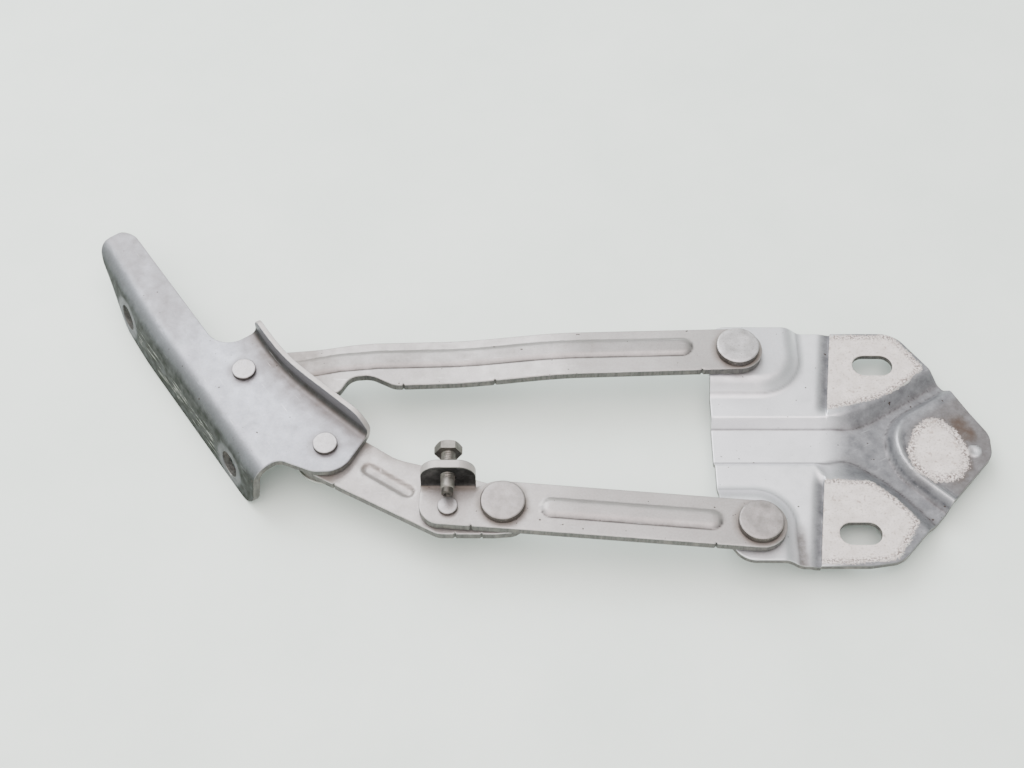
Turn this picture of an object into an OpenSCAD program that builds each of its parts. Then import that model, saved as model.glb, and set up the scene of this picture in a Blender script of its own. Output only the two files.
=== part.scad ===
// Bonnet hinge: a four-bar hinge of pressed steel links between a body bracket and a bonnet bracket.
// It lies on its side. Z runs along the pivots and X along the slots of the body bracket.
// The origin is the centre of the upper slot, on the face of its pad.

/* [Sheet] */
// Thickness of the body bracket
bracket_t = 3; // [2.4:0.1:3.4]
// Thickness of the links
link_t = 4; // [3:0.1:5]
// Thickness of the bonnet bracket
bonnet_t = 3.5; // [2.5:0.1:4]
// Gap between plates that turn on each other
plate_gap = 0.8; // [0.6:0.1:1.4]

/* [Linkage] */
// Long link pivot from the upper slot, along X
pivot_a_x = -59.5; // [-62:0.5:-57]
// Long link pivot from the upper slot, along Y
pivot_a_y = 1.5; // [0:0.5:3]
// Rear link pivot from the upper slot, along X
pivot_b_x = -56.5; // [-58:0.5:-55]
// Rear link pivot from the upper slot, along Y
pivot_b_y = -84.5; // [-87:0.5:-82]
// Long link between its pivots
long_link_l = 211; // [208:0.5:213]
// Slope of the long link in the pose shown, in degrees
long_link_slope = 3; // [1.5:0.5:5]
// Rear link between its pivots
rear_link_l = 103.8; // [103:0.1:106]
// Front link between its pivots
front_link_l = 78.8; // [78:0.1:81]
// Angle between rear and front link at the knee, in degrees
knee_angle = 163.9; // [162:0.1:168]
// Slope of the line between the upper link's end pivots in the pose shown, in degrees
upper_link_slope = 12; // [10.5:0.1:13.5]
// Direction of the bonnet flange in the pose shown, in degrees
flange_slope = 125; // [122:0.5:128]

/* [Body bracket] */
// Depth of the valley below the plateau
valley_depth = 4; // [3:0.1:5]
// Width of the valley's floor
valley_w = 17.5; // [14:0.5:20]
// Height of a pad above the plateau
pad_h = 0.8; // [0.4:0.1:1.2]
// Height of the pivot bosses above the pads
boss_h = 5; // [4:0.1:6]
// Run of a pressed slope for each millimetre of height
slope_run = 0.75; // [0.6:0.05:1]
// Fall of the valley's floor towards the tab, in degrees
floor_fall = 0.5; // [0.3:0.1:3]
// Slot length
slot_l = 17.4; // [14:0.2:20]
// Slot width
slot_w = 10.4; // [9:0.2:11]
// Lower slot from the upper slot, along X
slot_dx = -14.5; // [-16:0.5:-13]
// Lower slot from the upper slot, along Y
slot_dy = -83.5; // [-86:0.5:-81]
// Edge of the bracket above the upper slot
edge_up = 17; // [15:0.5:19]
// Edge of the bracket below the lower slot
edge_down = 15; // [13.5:0.5:17]
// Edge of the bracket left of the long link pivot
edge_left = 12; // [10:0.5:14]
// Tab tip from the upper slot, along X
tab_x = 45; // [41:0.5:48]

/* [Links] */
// Half width of the links at their pivots
eye_r = 10.8; // [10.2:0.1:12]
// Half width of the front link's bonnet eye
open_eye_r = 11.8; // [11.6:0.1:12.4]
// Height of the pressed beads
bead_h = 1; // [0.4:0.1:1.5]
// Width of the beads in the long and rear link
bead_w = 9.4; // [7:0.2:11]
// Notch of the long link from the bonnet pivot
notch_l = 50; // [47:0.5:54]
// Top of that notch from the line between the pivots
notch_y = -2; // [-3:0.1:-1]
// Shoulder of the long link above its ends
shoulder_h = 4.2; // [2:0.1:5]
// Bead of the long link from the body pivot
bead_end_a = 24; // [20:0.5:30]
// Bead of the long link from the bonnet pivot
bead_end_c = 32; // [28:0.5:40]
// Width of the coined groove in the front link
groove_w = 5; // [4:0.2:6]
// Groove of the front link from the bonnet pivot
groove_end = 18; // [17:0.5:22]
// Width of the adjuster tab
tab_w = 22.5; // [18:0.5:24]
// Height of the adjuster axis above the rear link
adjuster_h = 6.6; // [6:0.1:8]

/* [Bonnet bracket] */
// Outer face of the flange from the upper bonnet pivot
flange_y = 23.8; // [21:0.2:28]
// Depth of the flange from the top of the web
flange_depth = 27; // [23:0.5:32]
// Length of the arm from the upper bonnet pivot
arm_l = 99; // [90:0.5:106]
// Inner edge of the arm from the upper bonnet pivot
arm_y = 2.9; // [0:0.1:5]
// Inner radius of the flange bend
bend_r = 5; // [3:0.5:6]
// Height of the lip above the web
lip_h = 9.5; // [8:0.5:13]
// Diameter of the bonnet bolt holes
bolt_hole_d = 12; // [9:0.2:13]
// Lower bolt hole from the foot of the flange
hole_foot = 20; // [17:0.5:24]
// Upper bolt hole from the end of the arm
hole_end = 32; // [28:0.5:36]

/* [Fasteners] */
// Diameter of the large rivet heads
head_d = 17.7; // [16:0.1:19]
// Height of the large rivet heads
head_h = 3.5; // [2.5:0.1:4.5]
// Shank diameter of the large rivets
shank_d = 9; // [8:0.1:10]
// Diameter of the rivet heads on the bonnet bracket
small_head_d = 9.9; // [9.2:0.1:11]
// Height of the rivet heads on the bonnet bracket
small_head_h = 2; // [1.5:0.1:2.5]
// Shank diameter of the bonnet rivets
small_shank_d = 7; // [6:0.1:8]
// Head diameter of the shear rivet
shear_head_d = 8.3; // [7:0.1:9]
// Shank diameter of the shear rivet
shear_shank_d = 5; // [4:0.1:6]
// Thread diameter of the adjuster bolt
bolt_d = 6; // [5:0.1:7]
// Width across the flats of the adjuster bolt
bolt_flats = 10; // [9:0.1:11]
// Wall of the bushes
bush_wall = 1; // [0.6:0.1:1.2]

/* [Hidden] */
$fn = 48;

// Clearances: a pin that turns, a pin that is held, faces that slide, and the opened lower bonnet pivot
run_gap = 0.05;
held_gap = 0.02;
// Full rounds keep this short of the half width
fillet = 0.1;
face_gap = 0.05;
open_gap = 4.2;
// Overrun of a cutting tool, and sizes beyond every edge of the hinge and of the body bracket
over = 1;
far = 300;
wide = 160;

// Heights: the pads are at zero
plateau_z = -pad_h;
valley_z = plateau_z - valley_depth;
upper_z = boss_h + plate_gap;
upper_top = upper_z + link_t;
lower_top = upper_z - plate_gap;
lower_z = lower_top - link_t;
web_z = upper_z;
web_top = web_z + bonnet_t;
washer_t = 1;
tail_h = 2.5;

// Pivots: a and b in the body bracket, c and d in the bonnet bracket, e at the knee
function unit(v) = v / norm(v);
function polar(l, a) = l * [cos(a), sin(a)];
function heading(v) = atan2(v.y, v.x);
function meet(p, pr, q, qr) =
    let (l = norm(q - p), x = (pr * pr - qr * qr + l * l) / (2 * l), h = sqrt(pr * pr - x * x), e = (q - p) / l)
    p + x * e + h * [-e.y, e.x];
pivot_a = [pivot_a_x, pivot_a_y];
pivot_b = [pivot_b_x, pivot_b_y];
pivot_c = pivot_a + polar(long_link_l, 180 + long_link_slope);
upper_link_l = sqrt(pow(rear_link_l, 2) + pow(front_link_l, 2) - 2 * rear_link_l * front_link_l * cos(knee_angle));
pivot_d = pivot_b + polar(upper_link_l, 180 - upper_link_slope);
pivot_e = meet(pivot_b, rear_link_l, pivot_d, front_link_l);
rear_turn = heading(pivot_b - pivot_e);
front_turn = heading(pivot_e - pivot_d);
// The lower bonnet pivot in the bonnet bracket's own frame
pivot_d_local = polar(norm(pivot_d - pivot_c), heading(pivot_d - pivot_c) - flange_slope);
// The shear rivet from the knee, in the rear link's own frame
shear_at = [-rear_link_l - 22, -3.6];
slot_low = [slot_dx, slot_dy];

// Outline with its corners rounded: each point is [x, y, radius]
function corner(p, at, n, r, steps) =
    let (a = unit(p - at), b = unit(n - at), half = acos(a * b) / 2, mid = at + unit(a + b) * r / sin(half))
    let (s = at + a * r / tan(half) - mid, e = at + b * r / tan(half) - mid)
    let (from = heading(s), turn = (heading(e) - from + 540) % 360 - 180)
    [for (i = [0:steps]) mid + polar(r, from + turn * i / steps)];
function flat(p) = [p.x, p.y];
function rounded(pts, steps = 8) = let (n = len(pts)) [for (i = [0:n - 1])
    each pts[i].z > 0
        ? corner(flat(pts[(i + n - 1) % n]), flat(pts[i]), flat(pts[(i + 1) % n]), pts[i].z, steps)
        : [flat(pts[i])]];

// Straight bar with round ends, in plan
module bar(from, to, w) {
    l = norm(to - from);
    h = w / 2;
    r = h - held_gap;
    translate(from) rotate(heading(to - from))
        polygon(rounded([[-h, -h, r], [l + h, -h, r], [l + h, h, r], [-h, h, r]]));
}

// Pressed rise with sloping sides: its top follows a convex outline given anticlockwise
module rise(top, h) {
    n = len(top);
    intersection_for (i = [0:n - 1]) {
        side = top[(i + 1) % n] - top[i];
        translate(top[i]) rotate(heading(side)) rotate([90, 0, 90]) translate([0, 0, -2 * wide])
            linear_extrude(4 * wide) polygon([[-h * slope_run, 0], [4 * wide, 0], [4 * wide, h], [0, h]]);
    }
}

// Everything below the upper face of the pressed body bracket
break_x = -19;
break_turn = -7.6;
module bracket_form() {
    deep = 30;
    low = plateau_z - deep;
    valley_up = slot_low.y / 2 + 3 + valley_w / 2;
    valley_low = valley_up - valley_w;
    brink = valley_depth * slope_run;
    // Floor of the valley: it falls towards the tab from a slanting break line
    translate([break_x, 0]) rotate(break_turn) rotate([90, 0, 0]) translate([0, 0, -wide])
        linear_extrude(2 * wide) polygon([[-wide, low], [-wide, valley_z], [0, valley_z],
            [wide, valley_z - wide * tan(floor_fall)], [wide, low]]);
    // Plateaus above and below the valley, open towards the edges of the sheet
    up = valley_up + brink;
    down = valley_low - brink;
    translate([0, 0, low]) rise(rounded([[-wide, up, 0], [-11, up, 16],
        [wide, up + (wide + 11) * tan(31), 0], [-wide, wide, 0]], 5), deep);
    translate([0, 0, low]) rise(rounded([[-24, down, 12], [-wide, down, 0], [-wide, -2 * wide, 0],
        [3 + wide, down - 16.5 - wide * tan(54), 0], [3, down - 16.5, 10], [-7.5, down - 7, 10]], 3), deep);
    // Tab with its nose towards the valley
    tab_y = (valley_up + valley_low) / 2 - 1.4;
    nose = 9.5;
    nose_half = 13.3;
    nose_r = 12;
    translate([0, 0, low]) rise(rounded([[nose, tab_y + nose_half, nose_r], [nose, tab_y - nose_half, nose_r],
        [wide, tab_y - nose_half - (wide - nose) * tan(44), 0],
        [wide, tab_y + nose_half + (wide - nose) * tan(32), 0]], 5), deep);
    // Bosses that carry the pivots
    boss = boss_h - plateau_z + over;
    reach_a = [24, 12.7];
    reach_b = [12, 17.5];
    translate([0, 0, plateau_z - over]) rise(rounded([[-wide, pivot_a.y - reach_a.y, 0],
        [pivot_a.x + reach_a.x, pivot_a.y - reach_a.y, 15], [pivot_a.x + reach_a.x, wide, 0], [-wide, wide, 0]], 6), boss);
    translate([0, 0, plateau_z - over]) rise(rounded([[-wide, -wide, 0], [pivot_b.x + reach_b.x, -wide, 0],
        [pivot_b.x + reach_b.x, pivot_b.y + reach_b.y, 13], [-wide, pivot_b.y + reach_b.y, 0]], 6), boss);
}

// Raised spot of the tab: height, diameter, and how far it lies inside the tip
spot_h = 0.5;
spot_d = 6.6;
spot_edge = 7.4;

// Plan of the body bracket
function bracket_plan() = let (left = pivot_a.x - edge_left, low = slot_low.y - edge_down, tip = slot_low.y / 2 - 1)
    rounded([[left, edge_up, 8], [11, edge_up, 12], [tab_x - 13, tip + 30.8, 20], [tab_x - 6.5, tip + 18.8, 12],
        [tab_x + 0.5, tip + 7.3, 8], [tab_x, tip - 3.3, 8], [1, low + 2, 10], [-12, low, 6], [pivot_b.x - 7, low, 9],
        [left, pivot_b.y - 2, 6]]);
function upper_pad() = rounded([[-17, edge_up - 1.2, 0], [10.5, edge_up - 1.2, 9], [22.5, -0.5, 3], [-4, -18.5, 40],
    [-21.5, -22.5, 1]]);
function lower_pad() = let (low = slot_low.y - edge_down + 1.4)
    rounded([[-27, -57.5, 1], [-9, -59.5, 8], [1.5, -69, 10], [9.5, -79.5, 3], [-1, low + 1, 8], [-12, low, 6],
        [-32, low, 0]]);

module slot(at) {
    half = (slot_l - slot_w) / 2;
    for (s = [-1, 1]) translate([at.x + s * half, at.y, -far / 2]) cylinder(h = far, d = slot_w);
    translate([at.x - half, at.y - slot_w / 2, -far / 2]) cube([2 * half, slot_w, far]);
}

module body_bracket() color("gainsboro") difference() {
    union() {
        intersection() {
            difference() {
                bracket_form();
                translate([0, 0, -bracket_t]) bracket_form();
            }
            translate([0, 0, -far / 2]) linear_extrude(far) polygon(bracket_plan());
        }
        // Pads coined up to the mounting face
        translate([0, 0, -bracket_t]) linear_extrude(bracket_t) polygon(upper_pad());
        translate([0, 0, -bracket_t]) linear_extrude(bracket_t) polygon(lower_pad());
        // Raised spot near the tip of the tab
        translate([tab_x - spot_edge, slot_low.y / 2 - 2, plateau_z - over]) cylinder(h = over + spot_h, d = spot_d);
    }
    slot([0, 0]);
    slot(slot_low);
    for (p = [pivot_a, pivot_b])
        translate([p.x, p.y, lower_z - far / 2]) cylinder(h = far, d = shank_d + 2 * held_gap);
}

// Long link: flat at both ends, with a joggle that steps down to the bonnet bracket's underside
joggle_x = -88;
joggle_run = 16;
module long_link_side(drop = 0) {
    step = upper_z - lower_z;
    z = upper_z + drop;
    rotate([90, 0, 0]) translate([0, 0, -far / 2]) linear_extrude(far)
        polygon([[far, z], [far, z + link_t], [joggle_x, z + link_t], [joggle_x - joggle_run, z + link_t - step],
            [-far, z + link_t - step], [-far, z - step], [joggle_x - joggle_run, z - step], [joggle_x, z]]);
}

function long_link_plan() = let (l = long_link_l, n = notch_l - l, up = eye_r + shoulder_h) rounded([
    [eye_r, eye_r, eye_r - fillet], [n, up, 20], [n - 18, up - 2.4, 20], [-l - eye_r, eye_r, eye_r - fillet],
    [-l - eye_r, -eye_r, eye_r - fillet], [n - 9.5, -eye_r, 6], [n - 7, notch_y, 4.5], [n + 4, notch_y + 0.4, 4.5],
    [n + 14, notch_y - 5.4, 10], [eye_r, -eye_r + 0.6, eye_r - 0.6]]);

module long_link() color("lightgray") translate(pivot_a) rotate(long_link_slope) difference() {
    bead_from = [-bead_end_a, 2.6];
    bead_to = [-long_link_l + bead_end_c, 6.6];
    union() {
        intersection() {
            long_link_side();
            linear_extrude(far) polygon(long_link_plan());
        }
        intersection() {
            long_link_side(bead_h);
            linear_extrude(far) bar(bead_from, bead_to, bead_w);
        }
    }
    // Hollow of the bead
    intersection() {
        long_link_side(bead_h - link_t);
        translate([0, 0, -link_t]) linear_extrude(far) bar(bead_from, bead_to, bead_w - 2 * bead_h);
    }
    translate([0, 0, upper_z - over]) cylinder(h = link_t + 2 * over, d = shank_d + 2 * (bush_wall + held_gap));
    translate([-long_link_l, 0, lower_z - over])
        cylinder(h = link_t + 2 * over, d = small_shank_d + 2 * (bush_wall + held_gap));
}

// Rear link: flat bar with a bead, and a tab bent up at its free end for the adjuster bolt
tab_t = link_t;
tab_bend = 1.5;
tab_rise = 13;
// The bend's block keeps this far inside the faces of the bar
skin = 0.4;
function rear_link_plan() = let (l = rear_link_l, e = shear_at.x - 11.8) rounded([
    [eye_r, eye_r, eye_r - fillet], [-l - 4, eye_r, 9], [-l - 11.5, 7.2, 0], [e, 5.9, 0],
    [e, -eye_r - 0.8, 9], [-l, -eye_r - 0.4, 0], [eye_r, -eye_r, eye_r - fillet]]);

// Frame of the adjuster: its axis is square to the tab, in line with the shear rivet
adjuster_x = pivot_b.x + shear_at.x * cos(rear_turn) - shear_at.y * sin(rear_turn);
tab_front = pivot_b.y + shear_at.x * sin(rear_turn) + 7 * cos(rear_turn);
adjuster_z = upper_top + adjuster_h;

module rear_link() color("silver") {
    difference() {
        union() {
            translate(pivot_b) rotate(rear_turn) {
                translate([0, 0, upper_z]) linear_extrude(link_t) polygon(rear_link_plan());
                translate([0, 0, upper_z + bead_h]) linear_extrude(link_t) rear_bead(bead_w);
            }
            // Tab: a bend, then an upright with rounded shoulders
            translate([adjuster_x, tab_front, 0]) rotate([90, 0, 90])
                translate([0, 0, -tab_w / 2]) linear_extrude(tab_w)
                    polygon([[-tab_t, upper_z + skin], [tab_t - tab_bend, upper_z + skin],
                        [tab_t, upper_z + skin + tab_bend], [tab_t, upper_top + tab_bend],
                        [0, upper_top + tab_bend], [-tab_bend - skin, upper_top - skin], [-tab_t, upper_top - skin]]);
            translate([adjuster_x, tab_front + tab_t, upper_top]) rotate([90, 0, 0]) linear_extrude(tab_t)
                polygon(rounded([[-tab_w / 2, 0, 0], [tab_w / 2, 0, 0], [tab_w / 2, tab_rise, 6],
                    [-tab_w / 2, tab_rise, 6]]));
        }
        translate(pivot_b) rotate(rear_turn) {
            translate([0, 0, upper_z - over]) linear_extrude(bead_h + over) rear_bead(bead_w - 2 * bead_h);
            translate([0, 0, upper_z - over])
                cylinder(h = link_t + 2 * over, d = shank_d + 2 * (bush_wall + held_gap));
            translate([-rear_link_l, 0, upper_z - over]) cylinder(h = link_t + 2 * over, d = shank_d + 2 * held_gap);
            translate([shear_at.x, shear_at.y, upper_z - over])
                cylinder(h = link_t + 2 * over, d = shear_shank_d + 2 * held_gap);
        }
        translate([adjuster_x, tab_front - over, adjuster_z]) rotate([-90, 0, 0])
            cylinder(h = tab_t + 2 * over, d = bolt_d + 2 * run_gap);
    }
}

module rear_bead(w) bar([-20, 0], [-rear_link_l + 20, 0], w);

// Front link: a broad crank under the rear link, its corner under the shear rivet
function front_link_plan() = let (l = front_link_l) rounded([
    [eye_r, eye_r, eye_r - fillet], [-36, 8, 20], [-50, 6.6, 20], [-l + 6, open_eye_r, 10],
    [-l - open_eye_r, open_eye_r, open_eye_r - fillet], [-l - open_eye_r, -open_eye_r + 0.6, open_eye_r - 0.7],
    [-20.5, -20, 8], [1, -eye_r - 1, 8], [eye_r, -7, 7]]);

module front_link() color("lightgray") translate(pivot_e) rotate(front_turn) difference() {
    groove_from = [groove_end - front_link_l, -1.5];
    groove_to = [-front_link_l / 2, -6];
    translate([0, 0, lower_z]) linear_extrude(link_t) polygon(front_link_plan());
    translate([0, 0, lower_top - bead_h]) linear_extrude(bead_h + over) bar(groove_from, groove_to, groove_w);
    translate([0, 0, lower_z - over]) cylinder(h = link_t + 2 * over, d = shank_d + 2 * (bush_wall + held_gap));
    translate([-front_link_l, 0, lower_z - over])
        cylinder(h = link_t + 2 * over, d = small_shank_d + 2 * (bush_wall + open_gap));
    rotate(rear_turn - front_turn) translate([shear_at.x + rear_link_l, shear_at.y, lower_z - over])
        cylinder(h = link_t + 2 * over, d = shear_shank_d + 2 * held_gap);
}

// Bonnet bracket, in its own frame: X along the flange, Y out through the flange, the upper pivot at zero
lip_from = [14.5, -11.7];
lip_knee = [-8, -10.7];
lip_to = pivot_d_local + [-4.8, -13.8];
lip_bend = 3;
lip_lap = 2;
web_edge = 15.4;
lip_round = 6;
taper_l = 29;
taper_mid = [13, 11.5];
end_depth = 5;
foot_x = pivot_d_local.x + 5.2;

function web_plan() = rounded([[arm_l, flange_y + over, 0], [arm_l, arm_y, 8], [web_edge, arm_y, 10],
    [web_edge, lip_from.y, 0], [lip_from.x, lip_from.y, 0], [lip_knee.x, lip_knee.y, 0],
    [lip_to.x, lip_to.y, 0], [pivot_d_local.x - 14.6, pivot_d_local.y + 1.2, 11],
    [pivot_d_local.x - 8, pivot_d_local.y + 11, 8], [foot_x, pivot_d_local.y + 19.6, 5], [foot_x, flange_y + over, 0]]);

// Side view of the flange: it grows shallow towards the end of the arm
function flange_side() = let (low = web_top - flange_depth) rounded([[arm_l, web_top + over, 0],
    [foot_x, web_top + over, 0], [foot_x + 1, low, 10], [arm_l - taper_l, low, 12],
    [arm_l - taper_mid.x, web_top - taper_mid.y, 12], [arm_l, web_top - end_depth, 4]]);

// Section of the lip: out from inside the web, round the bend and up
module lip_section() {
    r = lip_bend + bonnet_t;
    translate([-lip_lap, web_z]) square([lip_lap, bonnet_t]);
    translate([0, web_top + lip_bend]) intersection() {
        difference() {
            circle(r = r);
            circle(r = lip_bend);
        }
        translate([0, -r]) square(r);
    }
    translate([lip_bend, web_top + lip_bend]) square([bonnet_t, lip_h - lip_bend]);
}

// Straight run of the lip whose free corners are rounded in side view
module lip_run(from, to, round_from, round_to) translate(from) rotate(heading(to - from)) intersection() {
    l = norm(to - from);
    top = web_top + lip_h;
    translate([-over, 0]) rotate([90, 0, 90]) linear_extrude(l + 2 * over) lip_section();
    rotate([90, 0, 0]) translate([0, 0, -far / 2]) linear_extrude(far)
        polygon(rounded([[0, web_z - over, 0], [l, web_z - over, 0], [l, top, round_to], [0, top, round_from]]));
}

// Lip along the inner edge of the web, mitred where the edge turns
module lip() {
    back = unit(lip_from - lip_knee);
    ahead = unit(lip_to - lip_knee);
    mitre = heading(back + ahead);
    intersection() {
        lip_run(lip_from, lip_knee - lip_lap * back, lip_round, 0);
        translate(lip_knee) rotate(mitre) translate([-far / 2, 0, -far / 2]) cube(far);
    }
    intersection() {
        lip_run(lip_knee - lip_lap * ahead, lip_to, 0, lip_round);
        translate(lip_knee) rotate(mitre) translate([-far / 2, -far, -far / 2]) cube(far);
    }
}

module bonnet_bracket() color("silver") translate(pivot_c) rotate(flange_slope) difference() {
    roll = bend_r + bonnet_t;
    roll_y = flange_y - roll;
    union() {
        intersection() {
            union() {
                translate([-far / 2, -far + roll_y, web_z]) cube([far, far, bonnet_t]);
                translate([-far / 2, flange_y - bonnet_t, web_top - roll - far]) cube([far, bonnet_t, far]);
                intersection() {
                    translate([-far / 2, roll_y, web_top - roll]) rotate([0, 90, 0]) difference() {
                        cylinder(h = far, r = roll);
                        translate([0, 0, -over]) cylinder(h = far + 2 * over, r = bend_r);
                    }
                    translate([-far / 2, roll_y, web_top - roll]) cube([far, roll, roll]);
                }
            }
            translate([0, 0, -far / 2]) linear_extrude(far) polygon(web_plan());
            union() {
                translate([0, far / 2, 0]) rotate([90, 0, 0]) linear_extrude(far) polygon(flange_side());
                translate([-far / 2, -far + roll_y, web_z - over]) cube([far, far, bonnet_t + 2 * over]);
            }
        }
        lip();
    }
    for (p = [[0, 0], pivot_d_local])
        translate([p.x, p.y, web_z - over]) cylinder(h = bonnet_t + 2 * over, d = small_shank_d + 2 * held_gap);
    for (x = [foot_x + hole_foot, arm_l - hole_end]) translate([x, flange_y - bonnet_t - over, hole_z]) rotate([-90, 0, 0])
        cylinder(h = bonnet_t + 2 * over, d = bolt_hole_d);
}
hole_z = web_top - 17;

// Rivet about the Z axis: a head with a rounded rim, a plain shank and a domed tail
module rivet(head_z, hd, hh, sd, tail_z, td, th) {
    rim = 0.6;
    up = sign(head_z - tail_z);
    rotate_extrude() polygon([[0, head_z + up * hh], [hd / 2 - rim, head_z + up * hh], [hd / 2, head_z + up * (hh - rim)],
        [hd / 2, head_z], [sd / 2, head_z], [sd / 2, tail_z], [td / 2, tail_z], [td / 2, tail_z - up * th * 0.4],
        [td / 2 - th * 0.6, tail_z - up * th], [0, tail_z - up * th]]);
}

// Bush with a flange at its top or bottom
module bush(sd, gap, z, h, flange_z) difference() {
    union() {
        translate([0, 0, z]) cylinder(h = h, d = sd + 2 * bush_wall);
        translate([0, 0, flange_z + face_gap]) cylinder(h = plate_gap - 2 * face_gap, d = sd + 8);
        translate([0, 0, min(z, flange_z + face_gap)])
            cylinder(h = h + plate_gap - face_gap, d = sd + 2 * bush_wall);
    }
    translate([0, 0, z - far / 2]) cylinder(h = far, d = sd + 2 * gap);
}

module washer(sd, od, z) translate([0, 0, z]) difference() {
    cylinder(h = washer_t - face_gap, d = od);
    translate([0, 0, -over]) cylinder(h = washer_t + 2 * over, d = sd + 2 * held_gap);
}

tail_d = shank_d + 4;
backing_d = shank_d + 8;
boss_under = boss_h - bracket_t;
body_tail_z = boss_under - washer_t;
bonnet_head_z = lower_z - washer_t;
open_washer_d = small_shank_d + 2 * (bush_wall + 2 * open_gap) + 0.8;

module body_rivet() rivet(upper_top + face_gap, head_d, head_h, shank_d, body_tail_z, tail_d, tail_h);
module bonnet_rivet() rivet(bonnet_head_z, head_d, head_h - 0.5, small_shank_d, web_top, small_head_d, small_head_h);

module long_link_rivet() color("darkgray") translate(pivot_a) body_rivet();
module rear_link_rivet() color("darkgray") translate(pivot_b) body_rivet();
module knee_rivet() color("darkgray") translate(pivot_e)
    rivet(upper_top, head_d, head_h, shank_d, lower_z - washer_t, tail_d, tail_h);
module upper_bonnet_rivet() color("darkgray") translate(pivot_c) bonnet_rivet();
module lower_bonnet_rivet() color("darkgray") translate(pivot_d) bonnet_rivet();

module long_link_bush() color("peru") translate(pivot_a) bush(shank_d, run_gap, upper_z, link_t, boss_h);
module rear_link_bush() color("peru") translate(pivot_b) bush(shank_d, run_gap, upper_z, link_t, boss_h);
module knee_bush() color("peru") translate(pivot_e) bush(shank_d, run_gap, lower_z, link_t, lower_top);
module upper_bonnet_bush() color("peru") translate(pivot_c) bush(small_shank_d, run_gap, lower_z, link_t, lower_top);
module lower_bonnet_bush() color("peru") translate(pivot_d) bush(small_shank_d, held_gap, lower_z, link_t, lower_top);

module long_link_washer() color("gray") translate(pivot_a) washer(shank_d, backing_d, body_tail_z);
module rear_link_washer() color("gray") translate(pivot_b) washer(shank_d, backing_d, body_tail_z);
module knee_washer() color("gray") translate(pivot_e) washer(shank_d, backing_d, lower_z - washer_t);
module upper_bonnet_washer() color("gray") translate(pivot_c) washer(small_shank_d, head_d, bonnet_head_z);
module lower_bonnet_washer() color("gray") translate(pivot_d) washer(small_shank_d, open_washer_d, bonnet_head_z);

module shear_rivet() color("gray") translate(pivot_b) rotate(rear_turn) translate([shear_at.x, shear_at.y, 0])
    rivet(upper_top, shear_head_d, small_head_h, shear_shank_d, lower_z, shear_head_d, small_head_h);

// Adjuster bolt: hexagon head behind the tab, plain dog point in front
bolt_stand = 7.3;
bolt_reach = 8.7;
bolt_head_h = 4;
bolt_point = 2.5;
module adjuster_bolt() color("dimgray") translate([adjuster_x, tab_front - bolt_reach, adjuster_z]) rotate([-90, 0, 0]) {
    l = bolt_reach + tab_t + bolt_stand;
    rotate_extrude() polygon([[0, 0], [bolt_d / 2 - 1, 0], [bolt_d / 2 - 0.6, 0.4], [bolt_d / 2 - 0.6, bolt_point],
        [bolt_d / 2, bolt_point + 0.6], [bolt_d / 2, l], [0, l]]);
    intersection() {
        translate([0, 0, l]) cylinder(h = bolt_head_h, d = bolt_flats / cos(30), $fn = 6);
        translate([0, 0, l]) cylinder(h = bolt_head_h, r1 = bolt_flats / cos(30) / 2 + bolt_head_h,
            r2 = bolt_flats / 2 - 0.3);
    }
}

body_bracket();
long_link();
rear_link();
front_link();
bonnet_bracket();
long_link_rivet();
rear_link_rivet();
knee_rivet();
upper_bonnet_rivet();
lower_bonnet_rivet();
long_link_bush();
rear_link_bush();
knee_bush();
upper_bonnet_bush();
lower_bonnet_bush();
long_link_washer();
rear_link_washer();
knee_washer();
upper_bonnet_washer();
lower_bonnet_washer();
shear_rivet();
adjuster_bolt();
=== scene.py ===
import functools
import math

import bmesh
import bpy
from mathutils import Matrix, Vector


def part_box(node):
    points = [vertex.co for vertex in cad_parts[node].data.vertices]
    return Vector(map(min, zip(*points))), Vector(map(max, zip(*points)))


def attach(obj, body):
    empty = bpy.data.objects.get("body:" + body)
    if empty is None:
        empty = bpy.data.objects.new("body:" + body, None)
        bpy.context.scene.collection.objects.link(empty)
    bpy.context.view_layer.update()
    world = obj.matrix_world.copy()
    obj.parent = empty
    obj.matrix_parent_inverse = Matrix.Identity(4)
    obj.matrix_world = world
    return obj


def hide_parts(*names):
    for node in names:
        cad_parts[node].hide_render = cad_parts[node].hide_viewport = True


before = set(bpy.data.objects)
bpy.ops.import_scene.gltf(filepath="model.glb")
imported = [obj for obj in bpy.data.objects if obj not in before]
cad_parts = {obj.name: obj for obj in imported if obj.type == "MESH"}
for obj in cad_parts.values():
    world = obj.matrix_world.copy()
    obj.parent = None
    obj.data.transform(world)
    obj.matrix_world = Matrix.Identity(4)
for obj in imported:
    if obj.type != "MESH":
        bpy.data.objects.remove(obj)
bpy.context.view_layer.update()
mm = 0.001
print("frame loaded,", len(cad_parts), "nodes")


# places in mm, read from the frame
def axisOf(node):  # pivot line of a rivet, the middle of its CAD box
    low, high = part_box(node)
    return Vector(((low.x + high.x) / 2, (low.y + high.y) / 2)) / mm


def turnOf(tip, root):  # angle of a link from its far pivot to the pivot it hangs on
    return math.atan2(root.y - tip.y, root.x - tip.x)


def turned(x, y, angle):
    return x * math.cos(angle) - y * math.sin(angle), x * math.sin(angle) + y * math.cos(angle)


pivotA = axisOf("long_link_rivet")
pivotB = axisOf("rear_link_rivet")
pivotC = axisOf("upper_bonnet_rivet")
pivotD = axisOf("lower_bonnet_rivet")
pivotE = axisOf("knee_rivet")
shearS = axisOf("shear_rivet")


# small maths for the pressed shapes
def smoothMin(a, b, blend):
    near = max(blend - abs(a - b), 0) / blend
    return min(a, b) - near * near * blend / 4


def smoothMax(a, b, blend):
    return -smoothMin(-a, -b, blend)


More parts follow.
